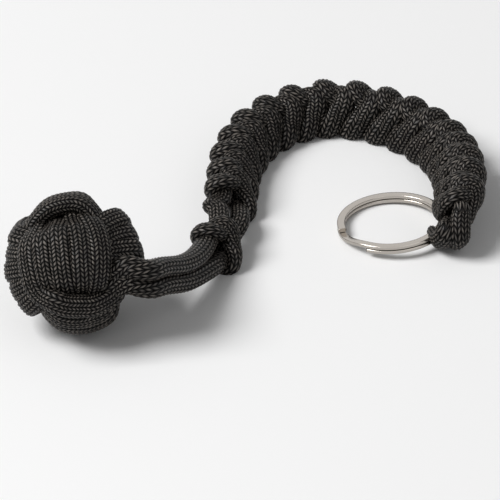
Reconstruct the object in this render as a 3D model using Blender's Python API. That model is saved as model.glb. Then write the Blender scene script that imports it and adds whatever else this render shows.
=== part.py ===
"""Monkey fist knot on a key lanyard, modelled in Blender.

One black braided cord, 4 mm class, is tied into the whole object. Its middle goes round the wire of a
split ring. Its two halves are worked into a sinnet of snake knots, then into one more knot that stops
the sinnet, and run on side by side to the fist. There the cord winds round a steel ball in three sets
of five turns, each set over the next and under the last. The cord is cut into named stretches here,
a hair apart, where its work changes or where the lanyard bends.
"""
import bpy
import bmesh
import math
import numpy as np
from mathutils import Matrix, Vector

# Units and clearances, in millimetres from here on
MM = 0.001
TOUCH = 0.35
GROUND_WIDTH = 600.0
GROUND_DEPTH = 10.0

# The cord as it lies free, and as it is pressed in the fist and in the sinnet
FREE_CORD = 4.0
LINK_CORD = 3.4
BIGHT_CORD = 3.0
BIGHT_UNDER_RING = 1.6
FIST_CORD = 2.8
KNOT_CORD_THIN = 2.2
KNOT_CORD_FULL = 2.8
CORD_GAP = 0.55
FIST_GAP = 0.7
CORD_SIDES_STEP = 1

# The fist: a steel ball, five turns a set, and how far a set lies from the ball's middle where it runs
# under another set. Where it runs over one it lies a cord further out. The cord is pressed flat where
# the fist stands.
CORE_DIAMETER = 16.0
TURNS = 5
TURN_PITCH = FIST_CORD + FIST_GAP + 0.15
UNDER_REACH = (CORE_DIAMETER + FIST_CORD) / 2 + 0.2
OVER_REACH = UNDER_REACH + FIST_CORD + FIST_GAP
SQUARENESS = 4.5
POINTS_A_HALF_TURN = 24
FOOT_DEPTH = FIST_CORD / 10

# Each set's first and last point, in half turns, and how far it drifts before and after the middle, in
# pitches. The first set runs narrower under the others, and the third makes room for its own end.
FIRST_SET = (-0.05, 2 * TURNS - 0.28)
SECOND_SET = (-0.72, 2 * TURNS - 1.28)
THIRD_SET = (-0.72, 2 * TURNS - 1.85)
FIRST_START = (TURNS / 2 - 0.6) * TURN_PITCH
OTHER_START = (TURNS / 2 - 0.25) * TURN_PITCH
FIRST_NARROWER = 0.12
THIRD_RISES = 1.8

# Where both ends come out under the front's right edge, in the fist's own frame, as shares of how far
# the outer turns lie from the middle
LEAD_IN = [(1.16, -0.66, 0.69), (0.90, -0.68, 0.87), (0.67, -0.72, 0.72), (0.63, -0.73, 0.38)]
LEAD_OUT = [(0.84, -0.44, 0.81), (1.13, -0.35, 0.83)]
LEAD_IN_POINTS = 11
LEAD_OUT_POINTS = 7

# How the fist is turned: its front set leans, and its face tips up and aside, in degrees
FIST_LEAN = 13.0
FIST_FACE_UP = 41.5
FIST_FACE_ASIDE = -6.0

# The sinnet of snake knots along its line, and the knot that stops it
KNOTS = 17
KNOT_PITCH = 6.3
FLEX_KNOT = 8
KNOT_TURN = 81.0
KNOT_HAND = 1
KNOT_FLATNESS = 0.003
POINTS_A_KNOT = 10
# The knot before it is drawn tight, and where in it the cord is at its full width, in knot lengths
LOOSE_CORD = 3.0
LOOSE_PITCH = 9.6
FULL_MIDDLE = 0.46
FULL_HALF = 0.36
FULL_FADE = 0.14
SINNET_HEIGHT = 5.65
SINNET_LINE = [(34.8, 43.0, 0), (36.6, 58.0, 0), (42.5, 69.9, 0), (53.4, 77.6, 0), (64.8, 76.8, 0),
               (75.7, 70.7, 0), (84.2, 58.6, 1.2), (87.3, 42.0, 4.0), (86.6, 28.2, 5.0)]
STOPPER_START = (31.6, 20.4, 0)
STOPPER_END = (33.6, 26.7, 0)

# The two cords of the stem, from the fist to the stopper, and those from there to the sinnet
STEM_UPPER = [(17.0, -8.2, 19.8, FREE_CORD), (20.2, -3.0, 17.2, FREE_CORD), (24.2, 4.6, 12.8, FREE_CORD),
              (27.4, 12.0, 9.4, FREE_CORD)]
STEM_LOWER = [(17.6, -8.2, 14.4, FREE_CORD), (20.8, -3.0, 11.8, FREE_CORD), (25.6, 5.2, 7.6, FREE_CORD),
              (30.6, 13.4, 4.9, FREE_CORD)]
LINK_LEFT = [(31.0, 31.0, 6.6, LINK_CORD), (30.9, 36.2, 6.6, LINK_CORD)]
LINK_RIGHT = [(36.6, 29.6, 4.6, LINK_CORD), (37.4, 35.6, 4.8, LINK_CORD)]

# The bight of the cord: over the ring's wire, down through the ring, under the wire and up outside it
RING_BIGHT = [(84.8, 28.2, 9.2, BIGHT_CORD), (82.2, 28.0, 8.6, BIGHT_CORD), (79.6, 29.6, 6.6, BIGHT_CORD),
              (78.2, 31.4, 3.6, BIGHT_CORD), (79.2, 31.1, 1.1, BIGHT_UNDER_RING),
              (81.1, 29.4, 0.85, BIGHT_UNDER_RING), (82.9, 27.9, 1.0, BIGHT_UNDER_RING),
              (85.2, 26.1, 2.6, BIGHT_CORD), (87.4, 25.0, 5.4, BIGHT_CORD), (88.4, 26.2, 8.8, BIGHT_CORD)]

# The split ring: two flat coils, with the step between them towards the front left
RING_OUTER = 25.0
RING_WIRE_WIDTH = 1.8
RING_WIRE_HEIGHT = 0.95
RING_COIL_GAP = 0.12
RING_LOW_SIDE = 140.0
# The stock ring's reach to the middle of its wire, and its centre. A larger ring grows away from the bight.
RING_STOCK_REACH = 11.6
RING_STOCK_CENTRE = (72.2, 36.9)
RING_GROWTH = (RING_OUTER - RING_WIRE_WIDTH) / 2 - RING_STOCK_REACH
RING_CENTRE = (RING_STOCK_CENTRE[0] + RING_GROWTH * math.cos(math.radians(RING_LOW_SIDE)),
               RING_STOCK_CENTRE[1] + RING_GROWTH * math.sin(math.radians(RING_LOW_SIDE)))
RING_STEP_FROM = 195.0
RING_STEP_TO = 241.0
RING_EDGE = 0.2
RING_OVER_CORD = 0.42
RING_STEPS_A_TURN = 48

# Where the lanyard bends: the stem in the stopper, the fist on the stem, and the sinnet in its flex knot
STEM_HINGE = (31.0, 19.0, 0.0)
FIST_HINGE = (14.7, -11.1, 0.0)
FLEX_HINGE = (63.0, 77.5, 0.0)

# How the cord is drawn tight: how far along itself it doesn't count as touching, in widths, then the
# pushes in a round, the rounds between spreading its points, and the easing of the whole cord at the end
ALONG_ITSELF = 1.3
PUSHES_A_ROUND = 3
ROUNDS_TO_SPREAD = 10
EASING_ROUNDS = 400
EASING_REACH = 1.0
# Rounds and pull for the fist, then for a snake knot as it closes, thins, settles and rests
DRAW_FIST = [(220, 0.15), (40, 0.02)]
KNOT_CLOSES_IN = 12
KNOT_THINS_IN = 8
KNOT_STAGE = (50, 0.8)
KNOT_SETTLES = (300, 0.8)
KNOT_RESTS = (60, 0.1)

# Points on each free stretch and on the lines that the knots follow, and every how many knot points
# one is kept
STEM_POINTS = 16
LINK_POINTS = 10
BIGHT_POINTS = 30
LINE_POINTS = 240
KEEP_EVERY = 4

BLACK_NYLON = ("black_nylon_cord", (0.012, 0.012, 0.013, 1), 0.62, 0.0)
STEEL = ("ball_steel", (0.55, 0.56, 0.58, 1), 0.25, 1.0)
NICKEL = ("nickel_plate", (0.72, 0.71, 0.69, 1), 0.18, 1.0)


def turned(points, half_turns, lift):
    """The same points, turned by half turns about Z and lifted."""
    out = points.copy()
    out[:, :2] *= (-1) ** half_turns
    out[:, 2] += lift
    return out


def evenly(points, count):
    """A polyline's points spread evenly over its own length."""
    run = np.concatenate([[0], np.cumsum(np.linalg.norm(np.diff(points[:, :3], axis=0), axis=1))])
    at = np.linspace(0, run[-1], count)
    return np.stack([np.interp(at, run, column) for column in points.T], axis=1)


def settle(points, widths, copies, steps, pull, core=0.0, flatten=0.0):
    """Draw a cord tight, with every stretch of it one width clear of the rest.

    copies lists (half_turns, lift, offset): the cord again, turned and lifted. offset is where its
    points come in the same cord's count, or None where it is another strand. With one copy the
    cord's ends are held. With more, the cord runs on into its first and last neighbours.
    """
    points = points.copy()
    count = len(points)
    index = np.arange(count)
    need = 0.5 * (widths[:, None] + widths[None])
    runs_on = len(copies) > 1
    ends = points[[0, -1]].copy()
    if runs_on:
        half_turns, lift = [(c[0], c[1]) for c in copies if c[2] == count][0]
    for step in range(steps):
        if runs_on:
            before = turned(points, half_turns, -lift)[-1:]
            after = turned(points, half_turns, lift)[:1]
        else:
            before, after = points[:1], points[-1:]
        chain = np.concatenate([before, points, after])
        points += pull * (0.5 * (chain[:-2] + chain[2:]) - points)
        points[:, 1] *= 1 - flatten
        spacing = np.linalg.norm(np.diff(chain, axis=0), axis=1).mean()
        skip = int(np.ceil(ALONG_ITSELF * widths.max() / spacing))
        for _ in range(PUSHES_A_ROUND):
            move = np.zeros_like(points)
            touches = np.zeros(count)
            for copy_turns, copy_lift, offset in copies:
                gap = points[:, None] - turned(points, copy_turns, copy_lift)[None]
                distance = np.linalg.norm(gap, axis=2)
                near = distance < need
                if offset is not None:
                    near &= np.abs(index[:, None] - index[None] - offset) > skip
                push = 0.5 * (need - distance) / np.maximum(distance, 1e-6) * near
                move += (gap * push[..., None]).sum(1)
                touches += near.sum(1)
            points += move / np.maximum(touches, 1)[:, None]
            if core:
                out = np.linalg.norm(points, axis=1)
                points *= np.maximum(1, (core + widths / 2) / np.maximum(out, 1e-6))[:, None]
            if not runs_on:
                points[[0, -1]] = ends
        if runs_on and step % ROUNDS_TO_SPREAD == ROUNDS_TO_SPREAD - 1:
            whole = np.concatenate([points, turned(points, half_turns, lift)[:1]])
            points = evenly(whole, count + 1)[:-1]
    return points


def snake_knot():
    """One strand through one snake knot, as points and widths; the axis is Z and the knot repeats.

    The strand rises beside the axis, goes half round the other strand outside it, tucks in under
    where that strand goes out, and rises again on the other side.
    """
    count = KEEP_EVERY * POINTS_A_KNOT
    # angle in degrees, then radius in loose cord widths and height in knot heights
    guess = np.array([(0, 0.55, 0.0), (0, 0.55, 0.30), (5, 0.9, 0.52), (25, 1.5, 0.56), (60, 1.8, 0.52),
                      (100, 1.85, 0.45), (140, 1.85, 0.38), (180, 1.8, 0.30), (205, 1.5, 0.26),
                      (228, 1.1, 0.28), (240, 0.75, 0.40), (225, 0.6, 0.60), (200, 0.55, 0.80),
                      (180, 0.55, 1.0)])
    at = np.linspace(0, len(guess) - 1, count + 1)[:-1]
    angle, radius, height = (np.interp(at, range(len(guess)), guess[:, k]) for k in range(3))
    angle = np.radians(angle) * KNOT_HAND
    radius = radius * LOOSE_CORD
    points = np.stack([radius * np.cos(angle), radius * np.sin(angle), height * LOOSE_PITCH], axis=1)
    full = np.clip((FULL_HALF - np.abs(np.arange(count) / count - FULL_MIDDLE)) / FULL_FADE, 0, 1)
    full = full * full * (3 - 2 * full)
    widths = KNOT_CORD_THIN + (KNOT_CORD_FULL - KNOT_CORD_THIN) * full
    pitch = LOOSE_PITCH
    for stage in range(1, KNOT_CLOSES_IN + 1):
        closer = LOOSE_PITCH + (KNOT_PITCH - LOOSE_PITCH) * stage / KNOT_CLOSES_IN
        points[:, 2] *= closer / pitch
        pitch = closer
        points = settle(points, np.full(count, LOOSE_CORD), knot_copies(pitch, count), *KNOT_STAGE)
    copies = knot_copies(pitch, count)
    drawn = widths + CORD_GAP
    for stage in range(1, KNOT_THINS_IN + 1):
        width = LOOSE_CORD + (drawn - LOOSE_CORD) * stage / KNOT_THINS_IN
        points = settle(points, width, copies, *KNOT_STAGE, flatten=KNOT_FLATNESS)
    points = settle(points, drawn, copies, *KNOT_SETTLES, flatten=KNOT_FLATNESS)
    points = settle(points, drawn, copies, *KNOT_RESTS)
    return points, widths


def knot_copies(pitch, count):
    """Where both strands of the neighbouring knots lie, seen from one strand in one knot."""
    same = [(m % 2, m * pitch, m * count) for m in (-2, -1, 0, 1, 2)]
    other = [((m + 1) % 2, m * pitch, None) for m in (-2, -1, 0, 1, 2)]
    return same + other


def smooth_line(points, count):
    """Points spread evenly on a smooth curve through the given ones."""
    points = np.array(points, float)
    start = 2 * points[0] - points[1]
    end = 2 * points[-1] - points[-2]
    p = np.concatenate([[start], points, [end]])
    rows = []
    for k in range(1, len(p) - 2):
        t = np.linspace(0, 1, 24, endpoint=False)[:, None]
        a = 2 * p[k]
        b = p[k + 1] - p[k - 1]
        c = 2 * p[k - 1] - 5 * p[k] + 4 * p[k + 1] - p[k + 2]
        d = -p[k - 1] + 3 * p[k] - 3 * p[k + 1] + p[k + 2]
        rows.append(0.5 * (a + b * t + c * t ** 2 + d * t ** 3))
    rows.append(p[-2:-1])
    return evenly(np.concatenate(rows), count)


def along_line(points, line):
    """Carry points off the Z axis on to a line: X goes outward, Y up and Z along it."""
    run = np.concatenate([[0], np.cumsum(np.linalg.norm(np.diff(line, axis=0), axis=1))])
    tangent = np.gradient(line, axis=0)
    at = points[:, 2]
    inside = np.clip(at, 0, run[-1])
    centre = np.stack([np.interp(inside, run, line[:, k]) for k in range(3)], axis=1)
    ahead = np.stack([np.interp(inside, run, tangent[:, k]) for k in range(3)], axis=1)
    ahead /= np.linalg.norm(ahead, axis=1)[:, None]
    centre += ahead * (at - inside)[:, None]
    outward = np.stack([-ahead[:, 1], ahead[:, 0], np.zeros(len(at))], axis=1)
    outward /= np.linalg.norm(outward, axis=1)[:, None]
    up = np.cross(ahead, outward) * -1
    up *= np.sign(up[:, 2])[:, None]
    turn = math.radians(KNOT_TURN)
    x = points[:, 0] * math.cos(turn) - points[:, 1] * math.sin(turn)
    y = points[:, 0] * math.sin(turn) + points[:, 1] * math.cos(turn)
    return centre + outward * x[:, None] + up * y[:, None]


def strand(knot, first, last, other):
    """One strand from the first knot up to the last along the Z axis."""
    points, widths = knot
    rows = [turned(points, (m + other) % 2, m * KNOT_PITCH) for m in range(first, last)]
    return np.concatenate(rows), np.tile(widths, last - first)


def squarish(t, over, under):
    """A rounded square's points: it reaches over where the sine is 1 and under where the cosine is."""
    c, s = np.cos(t), np.sin(t)
    reach = (np.abs(c / under) ** SQUARENESS + np.abs(s / over) ** SQUARENESS) ** (-1 / SQUARENESS)
    return reach * c, reach * s


def fist_turns():
    """The three sets of turns, each in order along the cord, before they are drawn tight.

    The first set starts under the bottom and ends down the front. The second runs from the bottom to the
    top, and the third from the left side to the front's right edge, under the first.
    """
    def turns(span, middle, start):
        count = int(round((span[1] - span[0]) * POINTS_A_HALF_TURN)) + 1
        t = np.pi * np.linspace(span[0], span[1], count)
        under, over = squarish(t, OVER_REACH, UNDER_REACH)
        return t, under, over, start - TURN_PITCH * (t / (2 * np.pi) - middle / 2)

    t, under, over, drift = turns(FIRST_SET, 1.5, FIRST_START)
    front = np.stack([drift * (1 - FIRST_NARROWER * np.cos(t) ** 2), -under, -over], axis=1)
    t, under, over, drift = turns(SECOND_SET, -0.5, OTHER_START)
    bottom = np.stack([under, over, drift], axis=1)
    t, under, over, drift = turns(THIRD_SET, -0.5, OTHER_START)
    side = np.stack([over, drift + THIRD_RISES * np.maximum(0, np.sin(t)), under], axis=1)
    return front, bottom, side


def stood_up(points):
    """Points of the fist turned from its own axes to the part's.

    Its own X goes to its right, Y up its front and Z out of its front.
    """
    lean = Matrix.Rotation(math.radians(FIST_LEAN), 3, "Z")
    tip = Matrix.Rotation(math.radians(90 - FIST_FACE_UP), 3, "X")
    aside = Matrix.Rotation(math.radians(FIST_FACE_ASIDE), 3, "Z")
    return points @ np.array(aside @ tip @ lean).T


def fist_cord():
    """The fist's cord from the lower stem's end to the upper one's, and what divides it into sets.

    It returns the points, the numbers of each set's first point and of the last, and the height of the
    ball's middle over the surface below.
    """
    front, bottom, side = fist_turns()
    lead_in = smooth_line([*(OVER_REACH * np.array(LEAD_IN)), front[0]], LEAD_IN_POINTS)[:-1]
    lead_out = smooth_line([side[-1], *(OVER_REACH * np.array(LEAD_OUT))], LEAD_OUT_POINTS)[1:]
    parts = [lead_in, front, bottom, side, lead_out]
    points = np.concatenate(parts)
    widths = np.full(len(points), FIST_CORD + FIST_GAP)
    for rounds, pull in DRAW_FIST:
        points = settle(points, widths, [(0, 0, 0)], rounds, pull, core=CORE_DIAMETER / 2)
    sets = np.cumsum([0] + [len(p) for p in parts])[[0, 2, 3]] // 2
    points = stood_up(points)[::2]
    height = FIST_CORD / 2 - points[:, 2].min() - FOOT_DEPTH
    return points + [0, 0, height], [*sets, len(points) - 1], height


def part_ways(rows, ball):
    """Ease the finished cord off itself and off the ball, measured between its drawn points as well.

    rows are the whole closed cord's points with their widths, and ball is the ball's middle.
    """
    points, widths = rows[:, :3].copy(), rows[:, 3]
    count = len(points)
    between = 3
    start = np.repeat(np.arange(count), between)
    end = (start + 1) % count
    share = np.tile(np.arange(between) / between, count)[:, None]
    wide = widths[start] * (1 - share[:, 0]) + widths[end] * share[:, 0]
    fine = points[start] * (1 - share) + points[end] * share
    step = np.linalg.norm(np.roll(fine, -1, axis=0) - fine, axis=1)
    run = np.cumsum(step) - step
    near_i, near_j = [], []
    for i in range(len(fine)):
        distance = np.linalg.norm(fine[i + 1:] - fine[i], axis=1)
        need = 0.5 * (wide[i + 1:] + wide[i]) + CORD_GAP
        apart = run[i + 1:] - run[i]
        apart = np.minimum(apart, run[-1] - apart)
        j = np.nonzero((distance < need + EASING_REACH) & (apart > ALONG_ITSELF * need))[0]
        near_i.append(np.full(len(j), i))
        near_j.append(j + i + 1)
    i, j = np.concatenate(near_i), np.concatenate(near_j)
    need = 0.5 * (wide[i] + wide[j]) + CORD_GAP
    for _ in range(EASING_ROUNDS):
        fine = points[start] * (1 - share) + points[end] * share
        gap = fine[j] - fine[i]
        distance = np.linalg.norm(gap, axis=1)
        push = gap * (0.5 * np.maximum(need - distance, 0) / distance)[:, None]
        move = np.zeros_like(fine)
        touches = np.zeros(len(fine))
        np.add.at(move, j, push)
        np.add.at(move, i, -push)
        np.add.at(touches, j, distance < need)
        np.add.at(touches, i, distance < need)
        out = fine - ball
        reach = np.linalg.norm(out, axis=1)
        inside = np.maximum(CORE_DIAMETER / 2 + wide / 2 + TOUCH - reach, 0)
        move += out * (inside / reach)[:, None]
        touches += inside > 0
        move /= np.maximum(touches, 1)[:, None]
        shift = np.zeros_like(points)
        weight = np.zeros(count)
        np.add.at(shift, start, move * (1 - share))
        np.add.at(shift, end, move * share)
        np.add.at(weight, start, (touches > 0) * (1 - share[:, 0]))
        np.add.at(weight, end, (touches > 0) * share[:, 0])
        points += shift / np.maximum(weight, 0.5)[:, None]
    return np.column_stack([points, widths])


def least_gap(points, widths):
    """The least gap between a tube and itself, measured on points closer together than the drawn ones."""
    count = 3 * len(points)
    run = np.linspace(0, 1, len(points))
    fine = evenly(points, count)
    wide = np.interp(np.linspace(0, 1, count), run, widths)
    spacing = np.linalg.norm(np.diff(fine, axis=0), axis=1).mean()
    skip = int(np.ceil(ALONG_ITSELF * widths.max() / spacing))
    i, j = np.triu_indices(count, skip)
    return (np.linalg.norm(fine[i] - fine[j], axis=1) - 0.5 * (wide[i] + wide[j])).min()


def cut_back(before, end, after, width):
    """How far a cord's end is cut back, so that its flat end clears the next one's where it bends."""
    coming = (end - before) / np.linalg.norm(end - before)
    going = (after - end) / np.linalg.norm(after - end)
    bend = math.acos(min(1, coming @ going))
    return TOUCH / 2 + width / 2 * math.tan(bend / 2)


def material(spec):
    """The named material, made once."""
    name, colour, roughness, metallic = spec
    made = bpy.data.materials.get(name)
    if made:
        return made
    made = bpy.data.materials.new(name)
    made.use_nodes = True
    shader = made.node_tree.nodes["Principled BSDF"]
    shader.inputs["Base Color"].default_value = colour
    shader.inputs["Roughness"].default_value = roughness
    shader.inputs["Metallic"].default_value = metallic
    made.diffuse_color = colour
    return made


def link(name, data, spec):
    """Put an object of this data in the scene."""
    ob = bpy.data.objects.new(name, data)
    data.materials.append(material(spec))
    bpy.context.scene.collection.objects.link(ob)
    return ob


def cord_object(name, points, widths, origin):
    """A stretch of cord as a curve with a round bevel, its width set point by point."""
    curve = bpy.data.curves.new(name, "CURVE")
    curve.dimensions = "3D"
    curve.bevel_depth = 0.5 * MM
    curve.bevel_resolution = CORD_SIDES_STEP
    curve.use_fill_caps = True
    spline = curve.splines.new("POLY")
    spline.points.add(len(points) - 1)
    for at, point, width in zip(spline.points, points, widths):
        at.co = (*((point - np.array(origin)) * MM), 1)
        at.radius = width
    ob = link(name, curve, BLACK_NYLON)
    ob.location = Vector(origin) * MM
    if (points[:, 2] - widths / 2).min() < 0:
        flat_below(ob)
    print(f"{name}: least gap to itself {least_gap(points, widths):.2f} mm, "
          f"length {np.linalg.norm(np.diff(points, axis=0), axis=1).sum():.0f} mm")
    return ob


def flat_below(ob):
    """Turn a cord that presses on the surface below into a mesh, cut flat where it meets it."""
    curve = ob.data
    bpy.context.view_layer.update()
    mesh = bpy.data.meshes.new_from_object(ob.evaluated_get(bpy.context.evaluated_depsgraph_get()))
    name, place = ob.name, ob.location.copy()
    bpy.data.objects.remove(ob)
    bpy.data.curves.remove(curve)
    made = bpy.data.objects.new(name, mesh)
    made.location = place
    bpy.context.scene.collection.objects.link(made)
    cut = made.modifiers.new("flat_foot", "BOOLEAN")
    cut.operation = "DIFFERENCE"
    cut.object = ground_cutter()


def ground_cutter():
    """A slab under the object, made once, whose top is the surface that it rests on."""
    made = bpy.data.objects.get("ground_cutter")
    if made:
        return made
    mesh = bpy.data.meshes.new("ground_cutter")
    bm = bmesh.new()
    bmesh.ops.create_cube(bm, size=1)
    bmesh.ops.scale(bm, verts=bm.verts, vec=(GROUND_WIDTH * MM, GROUND_WIDTH * MM, GROUND_DEPTH * MM))
    bmesh.ops.translate(bm, verts=bm.verts, vec=(0, 0, -GROUND_DEPTH / 2 * MM))
    bm.to_mesh(mesh)
    bm.free()
    made = bpy.data.objects.new("ground_cutter", mesh)
    made.hide_render = True
    made.display_type = "WIRE"
    bpy.context.scene.collection.objects.link(made)
    return made


def core_ball(height):
    """The steel ball that the fist is wound on, its middle at this height."""
    mesh = bpy.data.meshes.new("core_ball")
    bm = bmesh.new()
    bmesh.ops.create_uvsphere(bm, u_segments=24, v_segments=16, radius=CORE_DIAMETER / 2 * MM)
    origin = Vector(hinge_of("core_ball")) * MM
    bmesh.ops.translate(bm, verts=bm.verts, vec=Vector((0, 0, height * MM)) - origin)
    bm.to_mesh(mesh)
    bm.free()
    mesh.shade_smooth()
    ob = link("core_ball", mesh, STEEL)
    ob.location = origin


def split_ring():
    """Two flat coils of one wire, with a step up from the lower coil to the upper one."""
    radius = (RING_OUTER - RING_WIRE_WIDTH) / 2
    rise = RING_WIRE_HEIGHT + RING_COIL_GAP
    turn = RING_STEP_FROM + 360 - RING_STEP_TO
    total = 360 + turn
    steps = int(RING_STEPS_A_TURN * total / 360)
    w, h, e = RING_WIRE_WIDTH / 2, RING_WIRE_HEIGHT / 2, RING_EDGE
    right = [(w - e, -h), (w, -h + e), (w, h - e), (w - e, h)]
    profile = right + [(-x, z) for x, z in right[::-1]]
    bm = bmesh.new()
    rings = []
    for k in range(steps + 1):
        swept = total * k / steps
        climb = min(max((swept - turn) / (360 - turn), 0), 1)
        level = h + rise * climb * climb * (3 - 2 * climb)
        angle = math.radians(RING_STEP_TO + swept)
        across = Vector((math.cos(angle), math.sin(angle), 0))
        up = Vector((0, 0, 1))
        rings.append([bm.verts.new(((radius + x) * across + (level + z) * up) * MM) for x, z in profile])
    for a, b in zip(rings, rings[1:]):
        for k in range(len(profile)):
            n = (k + 1) % len(profile)
            bm.faces.new((a[k], a[n], b[n], b[k]))
    bm.faces.new(rings[0])
    bm.faces.new(rings[-1][::-1])
    bmesh.ops.recalc_face_normals(bm, faces=bm.faces)
    mesh = bpy.data.meshes.new("split_ring")
    bm.to_mesh(mesh)
    bm.free()
    mesh.shade_smooth()
    mesh.set_sharp_from_angle(angle=math.radians(30))
    ob = link("split_ring", mesh, NICKEL)
    ob.matrix_world = ring_frame()


def ring_frame():
    """The ring's own frame: it rests on its low side and on the cord under its high side."""
    low = math.radians(RING_LOW_SIDE)
    outer = RING_OUTER / 2
    tilt = math.asin((BIGHT_UNDER_RING + RING_OVER_CORD) / (2 * outer - RING_WIRE_WIDTH / 2))
    hinge = Vector((-math.sin(low), math.cos(low), 0))
    lift = Matrix.Translation(Vector((*RING_CENTRE, outer * math.sin(tilt))) * MM)
    return lift @ Matrix.Rotation(tilt, 4, hinge)


def raised(points):
    """Points of a line given from the sinnet's height."""
    return [(x, y, z + SINNET_HEIGHT) for x, y, z in points]


def knotted(knot, line, first, last, other):
    """One strand of some snake knots along a line, as rows of points and widths, with both its ends."""
    points, widths = strand(knot, first, last + 1, other)
    size = len(knot[0]) * (last - first) + 1
    return np.column_stack([along_line(points[:size], line), widths[:size]])[::KEEP_EVERY]


def free(start, through, end, count):
    """A free stretch between two rows: a smooth curve by way of chosen points, without its ends."""
    return smooth_line([start, *through, end], count)[1:-1]


def whole_cord():
    """The whole closed cord's stretches in order, each a name with rows of points and widths.

    It returns the height of the middle of the fist's ball as well.
    """
    knot = snake_knot()
    line = smooth_line(raised(SINNET_LINE), LINE_POINTS)
    stopper_line = smooth_line(raised([STOPPER_START, STOPPER_END]), LINE_POINTS)
    fist, sets, height = fist_cord()
    fist = np.column_stack([fist, np.full(len(fist), FIST_CORD)])
    stopper_a, stopper_b = (knotted(knot, stopper_line, 0, 1, other) for other in (0, 1))
    sinnet = {}
    for other in (0, 1):
        for name, first, last in (("near", 0, FLEX_KNOT), ("flex", FLEX_KNOT, FLEX_KNOT + 1),
                                  ("far", FLEX_KNOT + 1, KNOTS)):
            sinnet[name, other] = knotted(knot, line, first, last, other)
    sinnet_a, sinnet_b = sinnet["near", 0][0], sinnet["near", 1][0]
    far_a, far_b = sinnet["far", 0][-1], sinnet["far", 1][-1]
    stretches = [("first_turns", fist[:sets[1]]), ("second_turns", fist[sets[1]:sets[2]]),
                 ("third_turns", fist[sets[2]:]),
                 ("stem_upper", free(fist[-1], STEM_UPPER, stopper_a[0], STEM_POINTS)),
                 ("stopper_knot_a", stopper_a[:-1]),
                 ("link_right", free(stopper_a[-2], LINK_RIGHT, sinnet_b, LINK_POINTS)),
                 ("sinnet_near_b", sinnet["near", 1][:-1]), ("sinnet_flex_b", sinnet["flex", 1][:-1]),
                 ("sinnet_far_b", sinnet["far", 1]),
                 ("ring_bight", free(far_b, RING_BIGHT[::-1], far_a, BIGHT_POINTS)),
                 ("sinnet_far_a", sinnet["far", 0][::-1]), ("sinnet_flex_a", sinnet["flex", 0][:-1][::-1]),
                 ("sinnet_near_a", sinnet["near", 0][:-1][::-1]),
                 ("link_left", free(sinnet_a, LINK_LEFT[::-1], stopper_b[-2], LINK_POINTS)),
                 ("stopper_knot_b", stopper_b[:-1][::-1]),
                 ("stem_lower", free(stopper_b[0], STEM_LOWER[::-1], fist[0], STEM_POINTS))]
    return stretches, height


def hinge_of(name):
    """The point that a stretch of cord moves about, where its object has its origin."""
    if name.endswith("turns") or name == "core_ball":
        return FIST_HINGE
    if name.startswith("stem"):
        return STEM_HINGE
    if name.startswith("sinnet_far") or name == "ring_bight":
        return FLEX_HINGE
    return (0.0, 0.0, 0.0)


def cord_pieces():
    """The cord, eased off itself as one and then cut into its named stretches, and the ball in its fist."""
    stretches, height = whole_cord()
    core_ball(height)
    cord = part_ways(np.concatenate([rows for _, rows in stretches]), np.array([0, 0, height]))
    count = len(cord)
    first = 0
    for name, rows in stretches:
        last = first + len(rows)
        piece = cord[np.arange(first, last + 1) % count]
        points = piece[:, :3].copy()
        for index, inward, outward in ((0, 1, first - 1), (-1, -2, last + 1)):
            end, inside = piece[index, :3], piece[inward, :3]
            back = cut_back(inside, end, cord[outward % count, :3], piece[index, 3])
            points[index] += (inside - end) / np.linalg.norm(inside - end) * back
        cord_object(name, points, piece[:, 3], hinge_of(name))
        first = last


def centre_on_origin():
    """Move the whole object so that the origin lies under the middle of its box, on the surface below."""
    bpy.context.view_layer.update()
    graph = bpy.context.evaluated_depsgraph_get()
    corners = []
    for ob in bpy.data.objects:
        if not ob.hide_render:
            seen = ob.evaluated_get(graph)
            mesh = seen.to_mesh()
            corners += [ob.matrix_world @ v.co for v in mesh.vertices]
            seen.to_mesh_clear()
    middle = [(min(c[k] for c in corners) + max(c[k] for c in corners)) / 2 for k in (0, 1)]
    for ob in bpy.data.objects:
        ob.location.x -= middle[0]
        ob.location.y -= middle[1]
    print(f"the plan's origin is at x {-middle[0] / MM:.3f} mm, y {-middle[1] / MM:.3f} mm")


def main():
    """Build every piece of the object."""
    for ob in list(bpy.data.objects):
        bpy.data.objects.remove(ob)
    cord_pieces()
    split_ring()
    centre_on_origin()


main()
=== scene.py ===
"""The looks of a monkey fist key lanyard: black braided cord, worked into knots, and a split ring.

One closed cord is drawn tight by the same rules as in the construction, and then every stretch of it
gets its braided surface. Lengths are in millimetres until they go into a mesh.
"""
import math

import bpy
import numpy as np
from mathutils import Matrix, Vector


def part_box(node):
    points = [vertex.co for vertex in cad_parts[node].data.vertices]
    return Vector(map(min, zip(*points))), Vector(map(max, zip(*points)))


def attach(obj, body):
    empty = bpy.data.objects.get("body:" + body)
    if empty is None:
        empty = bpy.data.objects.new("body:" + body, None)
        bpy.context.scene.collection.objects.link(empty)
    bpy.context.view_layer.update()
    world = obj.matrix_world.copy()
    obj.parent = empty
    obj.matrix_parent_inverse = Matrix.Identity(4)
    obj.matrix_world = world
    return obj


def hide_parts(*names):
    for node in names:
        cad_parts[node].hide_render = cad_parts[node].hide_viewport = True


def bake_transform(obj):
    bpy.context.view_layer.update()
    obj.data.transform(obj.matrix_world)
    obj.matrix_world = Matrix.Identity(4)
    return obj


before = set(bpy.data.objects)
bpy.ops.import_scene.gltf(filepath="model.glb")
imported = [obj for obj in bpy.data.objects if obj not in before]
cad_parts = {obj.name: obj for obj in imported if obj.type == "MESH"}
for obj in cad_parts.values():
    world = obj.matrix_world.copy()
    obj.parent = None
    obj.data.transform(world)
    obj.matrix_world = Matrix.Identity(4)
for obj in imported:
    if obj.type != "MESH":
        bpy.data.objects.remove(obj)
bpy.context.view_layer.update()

MM = 0.001

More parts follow.
